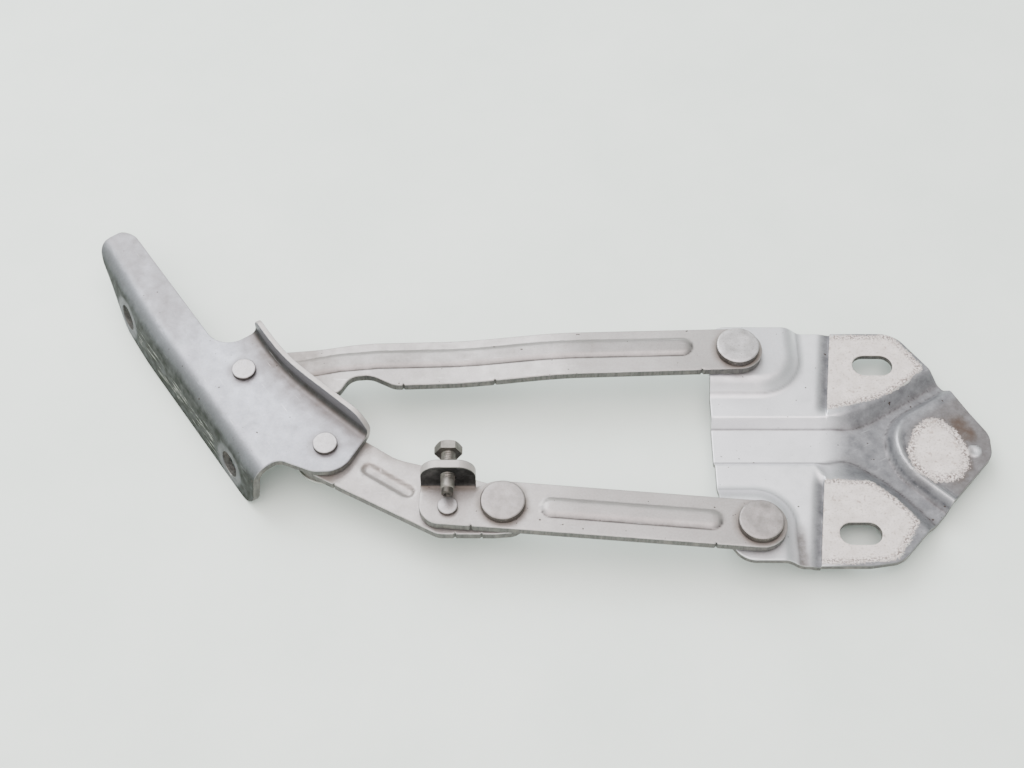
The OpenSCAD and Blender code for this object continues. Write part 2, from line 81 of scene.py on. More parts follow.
def ease(value, start, stop):
    t = min(max((value - start) / (stop - start), 0), 1)
    return t * t * (3 - 2 * t)


def roundCorner(a, b, radius):  # inside distance of a square corner with a radius
    if a < radius and b < radius:
        return radius - math.hypot(radius - a, radius - b)
    return min(a, b)


def leftOf(x, y, start, degrees):  # distance to the left of a line
    turn = math.radians(degrees)
    return (y - start[1]) * math.cos(turn) - (x - start[0]) * math.sin(turn)


def fromSegment(x, y, start, stop):  # distance from a segment
    dx, dy = stop[0] - start[0], stop[1] - start[1]
    share = ((x - start[0]) * dx + (y - start[1]) * dy) / (dx * dx + dy * dy)
    share = min(max(share, 0), 1)
    return math.hypot(x - start[0] - share * dx, y - start[1] - share * dy)


def insideOf(x, y, corners, blend):  # inside distance of a convex outline, corners clockwise
    inside = 1000
    for (ax, ay), (bx, by) in zip(corners, corners[1:] + corners[:1]):
        gap = ((x - ax) * (by - ay) - (y - ay) * (bx - ax)) / math.hypot(bx - ax, by - ay)
        inside = smoothMin(inside, gap, blend)
    return inside


# sheet metal: outline, rolled edge, grid, thickness, then pressing and bending
sheetWork = {
    "rings": (0.14, 0.24),    # widths of the two narrow rings of the rolled edge
    "drops": (0.36, 0.09),    # how far the edge and the loop between the rings fall
    "arcStep": 1.1,           # length of a chord on a rounded corner
    "holeSides": (28, 6),     # fewest sides of a round hole, and sides for each mm of its radius
    "nick": (0.6, 0.75),      # half width and depth of a nick
    "snap": 0.03, "tiny": 0.001,
}
painted = -8                  # bare value of a point far outside any bare patch


def addOutline(bm, corners):  # corners are (x, y, radius)
    verts = [bm.verts.new((x, y, 0)) for x, y, r in corners]
    for a, b in zip(verts, verts[1:] + verts[:1]):
        bm.edges.new((a, b))
    for vert, (x, y, r) in zip(verts, corners):
        if r:
            roundOff(bm, vert, r, sheetWork["arcStep"])


def roundOff(bm, vert, radius, step):
    first, second = [(e.other_vert(vert).co - vert.co).normalized() for e in vert.link_edges]
    half = first.angle(second) / 2
    segments = max(2, round(radius * (math.pi - 2 * half) / step))
    bmesh.ops.bevel(bm, geom=[vert], offset=radius / math.tan(half), offset_type="OFFSET",
                    affect="VERTICES", segments=segments, profile=0.5, material=-1)


def nick(x, y, slope):  # small notch that the blanking tool leaves in a lower edge
    half, deep = sheetWork["nick"]
    return [(x - half, y - half * slope, 0), (x, y + deep, 0), (x + half, y + half * slope, 0)]


def cutAcross(bm, point, normal, least=None):  # least is the x where the cut starts
    geom = bm.verts[:] + bm.edges[:] + bm.faces[:]
    if least is not None:
        faces = [f for f in bm.faces if min(v.co.x for v in f.verts) > least]
        verts = dict.fromkeys(v for f in faces for v in f.verts)
        edges = dict.fromkeys(e for f in faces for e in f.edges)
        geom = list(verts) + list(edges) + faces
    bmesh.ops.bisect_plane(bm, geom=geom, dist=sheetWork["snap"], plane_co=point, plane_no=normal)


def spread(*spans):  # spans are (start, stop, step)
    return [start + i * (stop - start) / round((stop - start) / step)
            for start, stop, step in spans for i in range(round((stop - start) / step))]


def cutSheet(corners, holes=(), slots=(), columns=(), rows=(), lines=()):
    bm = bmesh.new()
    drop = bm.verts.layers.float.new("drop")
    middle = bm.faces.layers.int.new("middle")
    addOutline(bm, corners)
    fewest, perRadius = sheetWork["holeSides"]
    for x, y, r in holes:
        bmesh.ops.create_circle(bm, cap_ends=False, radius=r, segments=max(fewest, round(perRadius * r)),
                                matrix=Matrix.Translation((x, y, 0)))
    for outline in slots:
        addOutline(bm, outline)
    bmesh.ops.triangle_fill(bm, use_beauty=True, edges=bm.edges[:], normal=(0, 0, 1))
    inner = bm.faces[:]
    for width in sheetWork["rings"]:
        ring = bmesh.ops.inset_region(bm, faces=inner, use_boundary=True, use_even_offset=True,
                                      thickness=width)
    for vert in (v for face in ring["faces"] for v in face.verts):
        vert[drop] = sheetWork["drops"][1]
    for face in inner:
        face[middle] = 1
        for vert in face.verts:
            vert[drop] = 0
    for vert in (v for edge in bm.edges if edge.is_boundary for v in edge.verts):
        vert[drop] = sheetWork["drops"][0]
    for x in columns:
        cutAcross(bm, (x, 0, 0), (1, 0, 0))
    for y in rows:
        cutAcross(bm, (0, y, 0), (0, 1, 0))
    slanting = []  # the fill's slanting edges go, so that the cells are square
    for edge in bm.edges:
        run = edge.verts[0].co - edge.verts[1].co
        inMiddle = len(edge.link_faces) == 2 and all(f[middle] for f in edge.link_faces)
        if inMiddle and min(abs(run.x), abs(run.y)) > sheetWork["tiny"]:
            slanting.append(edge)
    bmesh.ops.dissolve_edges(bm, edges=slanting)
    bmesh.ops.dissolve_verts(bm, verts=[v for v in bm.verts if len(v.link_edges) == 2 and not v.is_boundary])
    for line in lines:
        cutAcross(bm, *line)
    return bm


def pressSheet(bm, thick, shape, marks):  # shape gives the place, marks the wear, of a flat point
    drop = bm.verts.layers.float["drop"]
    names = "worn", "bare", "grimeAndShade", "shade", "rubAndHighlight", "rim"
    worn, bare, grimeAndShade, shade, rubAndHighlight, rim = [bm.verts.layers.float.new(n) for n in names]
    for vert in bm.verts:
        vert[bare], vert[grimeAndShade], vert[shade], vert[rubAndHighlight], vert[rim] = marks(vert.co.x, vert.co.y)
        vert[worn] = vert[drop] / sheetWork["drops"][0]
    top = set(bm.faces)
    made = bmesh.ops.extrude_face_region(bm, geom=bm.faces[:], use_keep_orig=True)["geom"]
    under = {g for g in made if isinstance(g, bmesh.types.BMVert)}
    for face in bm.faces:
        if face not in top and not all(v in under for v in face.verts):
            face.material_index = 1
    for vert in under:  # the hidden side keeps its paint and gets at least some painted shade
        vert[bare] = painted
        vert[grimeAndShade] = vert[grimeAndShade] * 0.5
        vert[shade] = max(vert[shade], 0.4)
        vert[rubAndHighlight] = 0
    for vert in bm.verts:
        depth = thick - vert[drop] if vert in under else vert[drop]
        vert.co = shape(vert.co.x, vert.co.y, depth)
    bmesh.ops.recalc_face_normals(bm, faces=bm.faces[:])
    bm.verts.layers.float.remove(bm.verts.layers.float["drop"])


def finishPiece(name, bm, place, body, replaced, materials):  # place is in mm
    bmesh.ops.transform(bm, matrix=Matrix.Scale(mm, 4) @ place, verts=bm.verts[:])
    for face in bm.faces:
        face.smooth = True
    mesh = bpy.data.meshes.new(name)
    bm.to_mesh(mesh)
    bm.free()
    for material in materials:
        mesh.materials.append(material)
    piece = bpy.data.objects.new(name, mesh)
    bpy.context.scene.collection.objects.link(piece)
    even = piece.modifiers.new("even shading", "WEIGHTED_NORMAL")
    even.weight = 60
    even.keep_sharp = True
    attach(piece, body)
    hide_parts(*replaced)
    print("made", name, len(mesh.polygons), "faces")


def placed(point, turn=0, height=0):
    return Matrix.Translation((point[0], point[1], height)) @ Matrix.Rotation(turn, 4, "Z")


# materials
def colour(code):  # sRGB hex to linear
    parts = [int(code[i:i + 2], 16) / 255 for i in (1, 3, 5)]
    return [p / 12.92 if p <= 0.04045 else ((p + 0.055) / 1.055) ** 2.4 for p in parts] + [1]


def addNode(tree, kind, inputs=(), out=0, **settings):  # a socket among the inputs is linked, a value is set
    node = tree.nodes.new("ShaderNode" + kind)
    for key, value in settings.items():
        setattr(node, key, value)
    for key, value in inputs.items() if isinstance(inputs, dict) else enumerate(inputs):
        if isinstance(value, bpy.types.NodeSocket):
            tree.links.new(value, node.inputs[key])
        else:
            node.inputs[key].default_value = value
    return node.outputs[out] if node.outputs else node


def newMaterial(name):
    material = bpy.data.materials.new(name)
    material.use_nodes = True
    material.node_tree.nodes.clear()
    return material, functools.partial(addNode, material.node_tree)


def silverPaint(name, light, dark, shaded, dustAndShade, dustShare, scratchTurn):
    # pressed steel sheet with stoved silver paint: soft metallic gloss, cloudy grey tones, painted shade on
    # some faces and along creases, dust and darkening in corners, black specks, scuffs, and bare zinc where
    # it was bolted to the car
    material, add = newMaterial(name)
    bareGap, grimeAndShade, worn, shade, rubAndHighlight = [add("Attribute", out=2, attribute_name=n)
                                        for n in ("bare", "grimeAndShade", "worn", "shade", "rubAndHighlight")]
    spot = add("TexCoord", out=3)
    along = add("Mapping", {"Vector": spot, "Rotation": (0, 0, scratchTurn), "Scale": (11, 1, 1)},
                vector_type="TEXTURE")
    cloud = add("TexNoise", {"Vector": spot, "Scale": 1 / (38 * mm), "Detail": 3.0})
    mottle = add("TexNoise", {"Vector": spot, "Scale": 1 / (5 * mm), "Detail": 4.0, "Roughness": 0.62})
    grain = add("TexNoise", {"Vector": spot, "Scale": 1 / (0.9 * mm), "Detail": 2.0})  # true flake is finer
    speck = add("TexNoise", {"Vector": spot, "Scale": 1 / (2.1 * mm), "Detail": 1.0})
    scuff = add("TexNoise", {"Vector": along, "Scale": 1 / (1.1 * mm), "Detail": 2.0})

    clouds = add("MapRange", (cloud, 0.3, 0.7))
    tone = add("Mix", {0: clouds, 6: colour(dark), 7: colour(light)}, 2, data_type="RGBA")
    blotch = add("MapRange", (mottle, 0.35, 0.75, 0, 0.4))
    tone = add("Mix", {0: blotch, 6: tone, 7: colour(dark)}, 2, data_type="RGBA")
    # painted shade: the shade attribute mixes in the darker shaded colour
    paintedShade = add("Math", (shade, add("MapRange", (mottle, 0.2, 0.8, 0.82, 1.08))), operation="MULTIPLY")
    tone = add("Mix", {0: paintedShade, 6: tone, 7: colour(shaded)}, 2, data_type="RGBA", clamp_factor=True)
    flake = add("MapRange", (grain, 0.3, 0.7, 0, 0.18))
    tone = add("Mix", {0: flake, 6: tone, 7: colour("#ffffff")}, 2, data_type="RGBA", blend_type="SOFT_LIGHT")
    scratch = add("MapRange", (scuff, 0.68, 0.8, 0, 0.2))
    tone = add("Mix", {0: scratch, 6: tone, 7: colour("#dddbe0")}, 2, data_type="RGBA")
    # the grime attribute holds dust, darkening along creases and corners, and painted shade on the front
    # link's groove
    darkening = add("Math", (grimeAndShade, add("MapRange", (mottle, 0.25, 0.7, 0.6, 1.15))), operation="MULTIPLY")
    darkening = add("Math", (darkening, add("MapRange", (mottle, 0.62, 0.8, 0, dustShare))), operation="MAXIMUM")
    tone = add("Mix", {0: darkening, 6: tone, 7: colour(dustAndShade)}, 2, data_type="RGBA", clamp_factor=True)
    dots = add("MapRange", (speck, 0.765, 0.785))
    tone = add("Mix", {0: dots, 6: tone, 7: colour("#453d3a")}, 2, data_type="RGBA")

    # bare patches: whitish zinc with grey pits inside a ragged, speckled border
    ragged = add("Math", (bareGap, add("MapRange", (grain, 0.2, 0.8, -1.0, 1.0))), operation="ADD")
    ragged = add("Math", (ragged, add("MapRange", (mottle, 0.2, 0.8, -0.8, 0.8))), operation="ADD")
    bare = add("MapRange", (ragged, -0.15, 0.25))
    milky = add("MapRange", (mottle, 0.3, 0.7))
    zinc = add("Mix", {0: milky, 6: colour("#c3bab7"), 7: colour("#ddd4d2")}, 2, data_type="RGBA")
    pits = add("MapRange", (grain, 0.55, 0.68, 0, 0.5))
    zinc = add("Mix", {0: pits, 6: zinc, 7: colour("#9d958e")}, 2, data_type="RGBA")
    stains = add("MapRange", (speck, 0.64, 0.72, 0, 0.55))
    zinc = add("Mix", {0: stains, 6: zinc, 7: colour("#8c7a6f")}, 2, data_type="RGBA")
    tone = add("Mix", {0: bare, 6: tone, 7: zinc}, 2, data_type="RGBA")
    band = add("Math", (add("Math", (bareGap, 1.2), operation="SUBTRACT"),), operation="ABSOLUTE")
    band = add("MapRange", (band, 0.5, 2.0, 1, 0))
    band = add("Math", (band, add("MapRange", (grain, 0.44, 0.56, 0, 0.85))), operation="MULTIPLY")
    band = add("Math", (band, add("MapRange", (mottle, 0.38, 0.55, 0.4, 1))), operation="MULTIPLY")
    tone = add("Mix", {0: band, 6: tone, 7: colour("#5f5350")}, 2, data_type="RGBA")
    bright = add("Math", (worn, add("MapRange", (mottle, 0.4, 0.6, 0.05, 0.6))), operation="MULTIPLY")
    streak = add("Math", (rubAndHighlight, 0.35, scuff), operation="MULTIPLY_ADD")  # more scuffs show where it is rubbed, and along the tab's ridge as a painted highlight
    patchy = add("MapRange", (mottle, 0.44, 0.58, 0.1, 1))
    streak = add("Math", (add("MapRange", (streak, 0.76, 0.87)), patchy), operation="MULTIPLY")
    bright = add("Math", (bright, streak), operation="MAXIMUM")
    # the scuffs are darker where there is painted shade
    chalk = add("Mix", {0: shade, 6: colour("#e4e2e4"), 7: colour("#9fa19b")}, 2, data_type="RGBA",
                clamp_factor=True)
    tone = add("Mix", {0: bright, 6: tone, 7: chalk}, 2, data_type="RGBA", clamp_factor=True)

    dull = add("Math", (bare, darkening), operation="MAXIMUM")
    bumps = add("Math", (grain, mottle), operation="ADD")
    # where there is painted shade the paint is also rougher and reflects less
    matt = add("MapRange", (shade, 0.5, 1, 0, 0.25))
    finish = add("BsdfPrincipled", {
        "Base Color": tone,
        "Metallic": add("MapRange", (dull, 0, 1, 0.7, 0.1)),
        "Roughness": add("Math", (add("MapRange", (mottle, 0.3, 0.7, 0.34, 0.48)), matt), operation="ADD"),
        "Specular IOR Level": add("MapRange", (shade, 0.5, 1, 0.5, 0.1)),
        "Normal": add("Bump", {"Height": bumps, "Strength": 0.16, "Distance": 0.1 * mm})})
    add("OutputMaterial", {"Surface": finish})
    return material


def shearedEdge(name, light, dark):
    # blanked steel edge under thin paint: dull, dark, with upright tear marks and rubbed spots
    material, add = newMaterial(name)
    rim = add("Attribute", out=2, attribute_name="rim")
    spot = add("TexCoord", out=3)
    upright = add("Mapping", {"Vector": spot, "Scale": (1, 1, 0.15)})
    tear = add("TexNoise", {"Vector": upright, "Scale": 1 / (1.1 * mm), "Detail": 3.0, "Roughness": 0.6})
    patch = add("TexNoise", {"Vector": spot, "Scale": 1 / (7 * mm), "Detail": 3.0, "Roughness": 0.6})
    tears = add("MapRange", (tear, 0.35, 0.7))
    tone = add("Mix", {0: tears, 6: colour(dark), 7: colour(light)}, 2, data_type="RGBA")
    patches = add("MapRange", (patch, 0.55, 0.75, 0, 0.5))
    tone = add("Mix", {0: patches, 6: tone, 7: colour("#8a847f")}, 2, data_type="RGBA")
    # painted highlight: the rim attribute lightens the edges of the rear link's tab and of the bonnet
    # bracket's lip
    tone = add("Mix", {0: rim, 6: tone, 7: colour("#b0aaa8")}, 2, data_type="RGBA")
    finish = add("BsdfPrincipled", {
        "Base Color": tone, "Metallic": 0.55,
        "Roughness": add("MapRange", (tear, 0.3, 0.7, 0.45, 0.62)),
        "Normal": add("Bump", {"Height": tear, "Strength": 0.3, "Distance": 0.15 * mm})})
    add("OutputMaterial", {"Surface": finish})
    return material


def rivetSteel(name, light, dark):
    # cold-headed rivet painted over and rubbed: flat satin top, brownish dust in fine pits
    material, add = newMaterial(name)
    spot = add("TexCoord", out=3)
    mottle = add("TexNoise", {"Vector": spot, "Scale": 1 / (4 * mm), "Detail": 4.0, "Roughness": 0.6})
    grain = add("TexNoise", {"Vector": spot, "Scale": 1 / (0.7 * mm), "Detail": 2.0})
    clouds = add("MapRange", (mottle, 0.3, 0.7))
    tone = add("Mix", {0: clouds, 6: colour(dark), 7: colour(light)}, 2, data_type="RGBA")
    pits = add("MapRange", (grain, 0.56, 0.7, 0, 0.6))
    tone = add("Mix", {0: pits, 6: tone, 7: colour("#857c78")}, 2, data_type="RGBA")
    finish = add("BsdfPrincipled", {
        "Base Color": tone, "Metallic": 0.7,
        "Roughness": add("MapRange", (mottle, 0.3, 0.7, 0.33, 0.47)),
        "Normal": add("Bump", {"Height": grain, "Strength": 0.16, "Distance": 0.1 * mm})})
    add("OutputMaterial", {"Surface": finish})
    return material


def turnedMetal(name, light, dark, size, rough):
    # machined or plated small part: even metal with faint stains
    material, add = newMaterial(name)
    spot = add("TexCoord", out=3)
    stain = add("TexNoise", {"Vector": spot, "Scale": 1 / (size * mm), "Detail": 4.0, "Roughness": 0.6})
    grain = add("TexNoise", {"Vector": spot, "Scale": 1 / (0.5 * mm), "Detail": 2.0})
    stains = add("MapRange", (stain, 0.32, 0.7))
    tone = add("Mix", {0: stains, 6: colour(dark), 7: colour(light)}, 2, data_type="RGBA")
    finish = add("BsdfPrincipled", {
        "Base Color": tone, "Metallic": 0.9,
        "Roughness": add("MapRange", (stain, 0.3, 0.7, rough - 0.07, rough + 0.1)),
        "Normal": add("Bump", {"Height": grain, "Strength": 0.12, "Distance": 0.06 * mm})})
    add("OutputMaterial", {"Surface": finish})
    return material


bracketPaint = silverPaint("stoved silver paint, body bracket", "#e9e8ef", "#d5d4da", "#3e4044", "#4c413b",
                           dustShare=0.08, scratchTurn=0.5)
linkPaint = silverPaint("stoved silver paint, links", "#aba6a6", "#918c8b", "#262626", "#665c55",
                        dustShare=0.22, scratchTurn=-0.05)
bonnetPaint = silverPaint("stoved silver paint, bonnet bracket", "#999aa3", "#85858b", "#262924", "#625957",
                          dustShare=0.12, scratchTurn=math.radians(125))
edgeSteel = shearedEdge("blanked steel edge", "#6e6d6a", "#4a4a48")
headSteel = rivetSteel("painted rivet steel", "#b5b1b4", "#938f90")
# a lighter copy of the rivet steel for the long link's pivot head, a darker one for the rear link's pivot and
# the knee
lighterHead = rivetSteel("lighter rivet steel", "#c5c1c4", "#a5a1a2")
darkerHead = rivetSteel("darker rivet steel", "#a19b9b", "#827c7b")
# painted shade: a darker copy of the rivet steel for the upright faces of the heads
shadedFlankSteel = rivetSteel("rivet flank in painted shade", "#57534f", "#3d3a38")
boltSteel = turnedMetal("dull zinc plated bolt steel", "#94908b", "#6a6662", 3, 0.5)
# a darker copy of the bolt steel for the bolt's point
darkerPointSteel = turnedMetal("darker bolt point", "#5d5955", "#3c3936", 2, 0.5)
zincWasher = turnedMetal("zinc plated washer steel", "#b9b9b5", "#96958f", 4, 0.38)
bushBronze = turnedMetal("sintered bronze", "#a98458", "#7b5d3a", 2.5, 0.45)
print("materials ready")


# body bracket: pressed sheet with a forked valley, pads, tab and two bosses
bodyBracket = {
    "thick": 3, "cell": 0.8,
    "strip": -0.25, "dip": 1.0, "dipWide": 5.2,      # the strip left of the pads dips before it meets them
    "valley": -4.8, "boss": 5, "tab": -0.8,
    "run": 0.75, "gentleRun": 1.2, "noseRun": 0.8,   # run of a slope for each mm of height
    "fall": 0.5,                                     # degrees by which the right part of the floor falls
    "breakX": -19, "breakTurn": -7.6, "breakCuts": (-0.6, -0.13, 0.13, 0.5), "crispHalf": 0.12,
    "upperBrink": -27, "upperTurn": (-14, 33),
    "lowerBrink": -50.5, "lowerStep": 6.7, "lowerTurns": ((-7.9, -57.6, -39.5), (2.4, -66.7, -54)),
    "tabNose": 5.2, "tabUpper": (-29.5, 32), "tabLower": (-49.2, -44), "tabRound": 9,
    "ridge": 0.85, "ridgeAt": 0.7, "ridgeFrom": 3,   # height, mm inside the tab's brink, least x of its cuts
    "ridgeCuts": (-3.6, -2.7, -1.9, -1.2, -0.3, 0.7, 1.7, 2.6, 3.4),   # along its straight side
    "bossA": (-35.5, -11.2, 15), "bossB": (-44.5, -67, 13), "bossBrow": 4.2, "bossFoot": 3.2,
    "corners": [(-71.5, 17, 8), (11, 17, 12), (32, -12, 20), (38.5, -24, 12), (45.5, -35.5, 8), (45, -46, 8),
                (1, -96.5, 10), (-12, -98.5, 6), (-63.5, -98.5, 9), (-71.5, -86.5, 6)],
    "slots": [(0, 0), (-14.5, -83.5)], "slotSize": (17.4, 10.4),
    "upperPad": [(-30, 16.2), (10.5, 16.2), (22, -1), (14, -9.4), (0.3, -17.6), (-30, -25.2)],
    "lowerPad": [(-40, -56.8), (-7.9, -58.2), (2.4, -66.7), (10.3, -78), (-1, -96), (-12, -97.6),
                 (-40, -97.6)],
    "tabPatch": (22.5, -43, 12.4, 16), "tabDimple": (37.6, -43.7, 3.3, 0.5),
    "pivotHole": 4.6,
    "creaseRows": [-51.1, -50.5, -50, -47.8, -47.4, -47.1, -46.8, -46.4,    # brink and foot of the lower wall
                   -31.1, -30.7, -30.4, -30.1, -29.7, -27.5, -27, -26.4],   # foot and brink of the upper wall
}


def pastBreak(x, y):  # mm to the right of the slanting line where the pads start
    turn = math.radians(bodyBracket["breakTurn"])
    return (x - bodyBracket["breakX"]) * math.cos(turn) + y * math.sin(turn)


def tabInside(x, y):  # inside distance of the tab's brink
    b = bodyBracket
    nose = b["tabNose"]
    tab = smoothMin(x - nose, -leftOf(x, y, (nose, b["tabUpper"][0]), b["tabUpper"][1]), b["tabRound"])
    return smoothMin(tab, leftOf(x, y, (nose, b["tabLower"][0]), b["tabLower"][1]), b["tabRound"])


def pressBracket(x, y):  # height of the upper face, how near a crease is, and how far up the ridge
    b = bodyBracket
    past = pastBreak(x, y)
    floor = b["valley"] - math.tan(math.radians(b["fall"])) * smoothMax(past, 0, 10)
    crisp = min(max((past + b["crispHalf"]) / (2 * b["crispHalf"]), 0), 1)
    soft = ease(past, -6, 5)
    run = b["run"] + (b["gentleRun"] - b["run"]) * ease(past, 0, 14)
    cornerX, cornerTurn = b["upperTurn"]
    upper = smoothMin(y - b["upperBrink"], leftOf(x, y, (cornerX, b["upperBrink"]), cornerTurn), 8)
    stepBack = ease(past, -4.5, 2)
    lower = b["lowerBrink"] - b["lowerStep"] * stepBack - y
    for tx, ty, turn in b["lowerTurns"]:
        lower = smoothMin(lower, -leftOf(x, y, (tx, ty), turn), 5)
    tab = tabInside(x, y)
    easy = run + 1.3 * stepBack * ease(past, 22, 5)   # the foot runs straight on where the pad steps back
    near = 1.0 + 1.4 * ease(past, -2, 6)              # creases are drawn wider where they leave the cut rows
    height, crease = floor, 0
    for inside, level, slope in ((upper, 0, run), (lower, 0, easy), (tab, b["tab"], b["noseRun"])):
        if inside != tab:
            left = b["strip"] - b["dip"] * ease(past, -b["dipWide"], -0.4) * ease(inside, 1, 6)
            level = left - left * (soft + (crisp - soft) * ease(inside, -2, 0.5))
        wall = level + smoothMin(inside / slope, 0, 0.9)
        crease = max(crease, 1 - abs(wall - height) / near)
        height = smoothMax(height, wall, 0.45)
    onRidge = ease(abs(tab - b["ridgeAt"]), 1.9, 0.5) * ease(y, -29, -38)
    height += b["ridge"] * onRidge
    (ax, ay, ar), (bx, by, br) = b["bossA"], b["bossB"]
    for inside in (roundCorner(ax - x, y - ay, ar), roundCorner(bx - x, by - y, br)):
        wall = b["boss"] + smoothMin(inside / b["run"], 0, b["bossBrow"])
        crease = max(crease, 0.7 - abs(wall - height) / 2.4)
        height = smoothMax(height, wall, b["bossFoot"])
    dx, dy, size, rise = b["tabDimple"]
    gap = math.hypot(x - dx, y - dy)
    height += rise * ease(gap, size, size - 0.9) - 0.3 * ease(gap, 1.3, 0.5)
    return height, max(crease, 0), onRidge


def bracketPlace(x, y, depth):
    return x, y, pressBracket(x, y)[0] - depth


def ringDirt(x, y, point, inner, outer):  # dust that gathers round a rivet head
    return ease(math.hypot(x - point[0], y - point[1]), outer, inner)


def bracketMarks(x, y):
    b = bodyBracket
    past = pastBreak(x, y)
    tab = tabInside(x, y)
    height, crease, onRidge = pressBracket(x, y)
    px, py, sx, sy = b["tabPatch"]
    patch = (1 - math.hypot((x - px) / (sx + 0.14 * (py - y)), (y - py) / sy)) * sx * 0.8
    pads = max(insideOf(x, y, b["upperPad"], 2), insideOf(x, y, b["lowerPad"], 2))
    line = 0.95 * ease(abs(pads + 0.2), 0.75, 0.2) * ease(past, 1, 5) * ease(12 - y, 0, 4)
    bare = max(pads if past > 0 else painted, patch)
    dx, dy, size = b["tabDimple"][:3]
    spot = ease(math.hypot(x - dx, y - dy), size, size - 0.8)
    halo = ease(math.hypot(x - 34, y + 32), 13, 4) * ease(abs(patch + 3), 7, 2)
    fringe = (0.25 + 0.5 * ease(x, 18, 30)) * ease(abs(patch), 3, 0.5)
    onTab = ease(tab, 2, 6) * (1 - spot)
    darkening = max(0.35 * crease ** 2, 0.95 * halo, fringe, 0.45 * onTab * (1 - onRidge))
    darkening = max(darkening, 0.8 * ease(abs(x + 39), 4, 0.8) * ease(y, -77, -84))   # foot of the lower boss
    for pivot in (pivotA, pivotB):
        darkening = max(darkening, 0.7 * ringDirt(x, y, pivot, 9, 13))
    # painted shade: a band on the strip left of the pads, the whole right part, the boss tops, the creases
    # and the foot of the tab's ridge; the dimple gets less, and the ridge's crest less as a painted highlight
    beside = 0.9 * ease(past, -7, -1.2) * max(ease(y, -28, -20), ease(y, -53, -61)) * (1 if past < 0 else 0)
    right = ease(past, -4, 12)
    shade = max(0.84 * right, beside, 0.22 * ease(height, 1, 4))
    shade = shade * (1 - 0.7 * spot) * (1 - 0.35 * onRidge)
    ridgeFoot = ease(abs(abs(tab - b["ridgeAt"]) - 2.6), 1.6, 0.2) * ease(y, -27, -36)
    shade = max(shade, (0.8 + 0.2 * right) * crease ** 1.6, 0.95 * ridgeFoot)
    return min(max(bare, painted), -painted), darkening, shade, max(line, 0.45 * onRidge, 0.5 * spot), 0


def slotCorners(at):
    length, width = bodyBracket["slotSize"]
    r = width / 2 - 0.01  # a hair less than half, so that the corners don't meet
    signs = (1, 1), (-1, 1), (-1, -1), (1, -1)
    return [(at[0] + sx * length / 2, at[1] + sy * width / 2, r) for sx, sy in signs]


def breakLine(shift):  # point and direction of a cut beside the break
    turn = math.radians(bodyBracket["breakTurn"])
    across = Vector((math.cos(turn), math.sin(turn), 0))
    return Vector((bodyBracket["breakX"], 0, 0)) + across * shift, across


def ridgeLine(shift):  # the same beside the tab's ridge, and where it starts
    turn = math.radians(bodyBracket["tabLower"][1])
    across = Vector((-math.sin(turn), math.cos(turn), 0))
    start = Vector((bodyBracket["tabNose"], bodyBracket["tabLower"][0], 0))
    return start + across * shift, across, bodyBracket["ridgeFrom"]


cell = bodyBracket["cell"]
creases = [breakLine(shift) for shift in bodyBracket["breakCuts"]]
creases += [ridgeLine(shift) for shift in bodyBracket["ridgeCuts"]]
sheet = cutSheet(bodyBracket["corners"],
                 holes=[(p.x, p.y, bodyBracket["pivotHole"]) for p in (pivotA, pivotB)],
                 slots=[slotCorners(at) for at in bodyBracket["slots"]],
                 columns=spread((-71, 45, cell)), rows=spread((-98, 17, cell)) + bodyBracket["creaseRows"],
                 lines=creases)
pressSheet(sheet, bodyBracket["thick"], bracketPlace, bracketMarks)
finishPiece("pressed-body-bracket", sheet, Matrix(), "body", ["body_bracket"],
            [bracketPaint, edgeSteel])


# beads of the two bars: round back and sharp foot
beads = {
    "flank": 3, "line": 0.6,                   # widths of the round flank and of the dark line at its foot
    "cuts": (-0.2, 0, 0.2, 0.4, 0.7, 1),       # places of the cuts in shares of the flank, from its foot
}


def downFlank(gap, half):  # 0 on the back of a bead, 1 at its foot and outside
    return min(max((gap - half + beads["flank"]) / beads["flank"], 0), 1)


def crown(gap, half):
    t = downFlank(gap, half)
    return 1 - t * t


def beadShade(gap, half, lower):  # dark line along the foot, faint on the side towards the window
    line = 1 - min(abs(gap - half) / beads["line"], 1)
    flank = downFlank(gap, half) if gap < half else 0
    return max(0.95 * line, 0.62 * flank * flank) if lower else 0.1 * line


def besideLine(start, stop, half):  # cuts along both sides of a bead, so that its edges are straight
    along = Vector((stop[0] - start[0], stop[1] - start[1], 0)).normalized()
    across = Vector((-along.y, along.x, 0))
    return [(Vector((*start, 0)) + across * side * (half - share * beads["flank"]), across)
            for side in (-1, 1) for share in beads["cuts"]]


# long link: joggled bar with a bead and a notch
longLink = {
    "thick": 4, "top": 9.8, "cell": 0.9,
    "corners": [(10.8, 10.8, 10.7), (-161, 15, 100), (-179, 12.6, 100), (-221.8, 10.8, 10.7),
                (-221.8, -10.8, 10.7), (-171.5, -10.8, 5), (-166, -2.2, 6), (-157.5, -1.9, 9),
                (-147.5, -7.7, 8), *nick(-143.6, -7.8, -0.016), *nick(-104.5, -8.4, -0.016),
                *nick(-16.1, -9.8, -0.016), (10.8, -10.2, 10.2)],
    "joggle": (68, 126, 4.8), "hole": 6.1,
    "bead": ((-24, 2.6), (-154, 6.0), (-171, 5.2), (-200, 0.5)), "beadHalf": 4.7, "beadRise": 1.0,
    "beadSplit": 4.5,    # the bead's lower side lies below this
}
longTurn = turnOf(pivotC, pivotA)
longReach = (pivotA - pivotC).length


def beadGap(x, y):  # distance from the middle of the bead, which bends down near the bonnet bracket
    return min(fromSegment(x, y, a, b) for a, b in zip(longLink["bead"], longLink["bead"][1:]))


